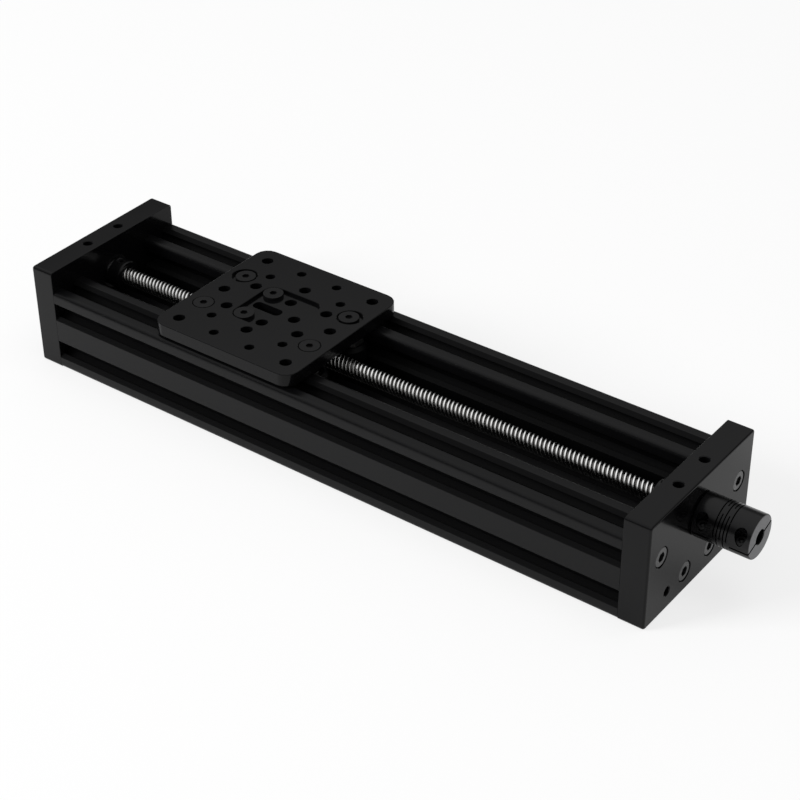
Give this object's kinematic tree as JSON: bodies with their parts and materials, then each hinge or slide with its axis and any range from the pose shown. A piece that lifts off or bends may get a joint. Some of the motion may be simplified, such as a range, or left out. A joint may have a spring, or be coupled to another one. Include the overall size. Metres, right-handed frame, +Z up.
{
  "type": "lead screw linear slide",
  "caption": "Linear slide: a holed carriage plate on V-edged wheels runs along a C-shaped slotted rail, driven by a lead screw between end plates with a flexible shaft coupling.",
  "frame": {"origin": "middle of the rail's bottom face", "axes": "+X along the rail towards the coupling, +Y across it towards the eccentric spacers, +Z up through the carriage"},
  "size_m": [0.3494, 0.08, 0.05],
  "materials": {
    "rail_black": "satin black anodised extrusion with fine lengthwise die lines",
    "plate_black": "smooth semi-gloss black anodised plate",
    "screw_steel": "bright rolled steel thread",
    "black_steel": "black oxide steel fasteners",
    "bearing_steel": "ground bearing steel",
    "collar_black": "black oxide steel collar",
    "coupling_black": "black anodised coupling with a bare turned end face",
    "wheel_black": "moulded black acetal",
    "nut_black": "machined black acetal",
    "bare_aluminium": "turned bare aluminium",
    "zinc_steel": "zinc plated steel"
  },
  "bodies": {
    "base": {"rail": "rail_black", "right_end_plate": "plate_black", "left_end_plate": "plate_black", "right_plate_screws": "black_steel", "left_plate_screws": "black_steel", "right_bearing_outer_race": "bearing_steel", "left_bearing_outer_race": "bearing_steel"},
    "screw": {"lead_screw": "screw_steel", "right_bearing_inner_race": "bearing_steel", "left_bearing_inner_race": "bearing_steel", "right_collar_shim": "zinc_steel", "left_collar_shim": "zinc_steel", "right_lock_collar": "collar_black", "left_lock_collar": "collar_black", "right_collar_grub_screw": "black_steel", "left_collar_grub_screw": "black_steel", "shaft_coupling": "coupling_black", "coupling_clamp_screws": "black_steel"},
    "carriage": {"carriage_plate": "plate_black", "nut_block": "nut_black", "nut_block_spacers": "bare_aluminium", "nut_block_bolts": "black_steel", "nut_block_nuts": "zinc_steel", "backlash_screw": "black_steel", "wheel_bolts": "black_steel", "wheel_nuts": "zinc_steel", "wheel_shims": "zinc_steel", "wheel_inner_races": "bearing_steel", "wheel_spacers": "bare_aluminium", "eccentric_spacers": "zinc_steel"},
    "wheel_near_left": {"wheel_near_left": "wheel_black", "wheel_outer_races_near_left": "bearing_steel"},
    "wheel_near_right": {"wheel_near_right": "wheel_black", "wheel_outer_races_near_right": "bearing_steel"},
    "wheel_far_left": {"wheel_far_left": "wheel_black", "wheel_outer_races_far_left": "bearing_steel"},
    "wheel_far_right": {"wheel_far_right": "wheel_black", "wheel_outer_races_far_right": "bearing_steel"}
  },
  "joints": [
    {"name": "carriage_slide", "type": "slide", "parent": "base", "child": "carriage", "axis": [1, 0, 0], "range_m": [-0.056, 0.16]},
    {"name": "screw_spin", "type": "hinge", "parent": "base", "child": "screw", "pos_m": [0, 0, 0.0326], "axis": [1, 0, 0], "continuous": true},
    {"name": "wheel_near_left_spin", "type": "hinge", "parent": "carriage", "child": "wheel_near_left", "pos_m": [-0.082, -0.01398, 0.03], "axis": [0, 0, 1], "continuous": true},
    {"name": "wheel_near_right_spin", "type": "hinge", "parent": "carriage", "child": "wheel_near_right", "pos_m": [-0.022, -0.01398, 0.03], "axis": [0, 0, 1], "continuous": true},
    {"name": "wheel_far_left_spin", "type": "hinge", "parent": "carriage", "child": "wheel_far_left", "pos_m": [-0.0814, 0.01398, 0.03], "axis": [0, 0, 1], "continuous": true},
    {"name": "wheel_far_right_spin", "type": "hinge", "parent": "carriage", "child": "wheel_far_right", "pos_m": [-0.0226, 0.01398, 0.03], "axis": [0, 0, 1], "continuous": true}
  ],
  "couplings": [
    {"joint": "screw_spin", "follows": "carriage_slide", "rad_per_m": -785.4},
    {"joint": "wheel_near_left_spin", "follows": "carriage_slide", "rad_per_m": -147.06},
    {"joint": "wheel_near_right_spin", "follows": "carriage_slide", "rad_per_m": -147.06},
    {"joint": "wheel_far_left_spin", "follows": "carriage_slide", "rad_per_m": 147.06},
    {"joint": "wheel_far_right_spin", "follows": "carriage_slide", "rad_per_m": 147.06}
  ]
}
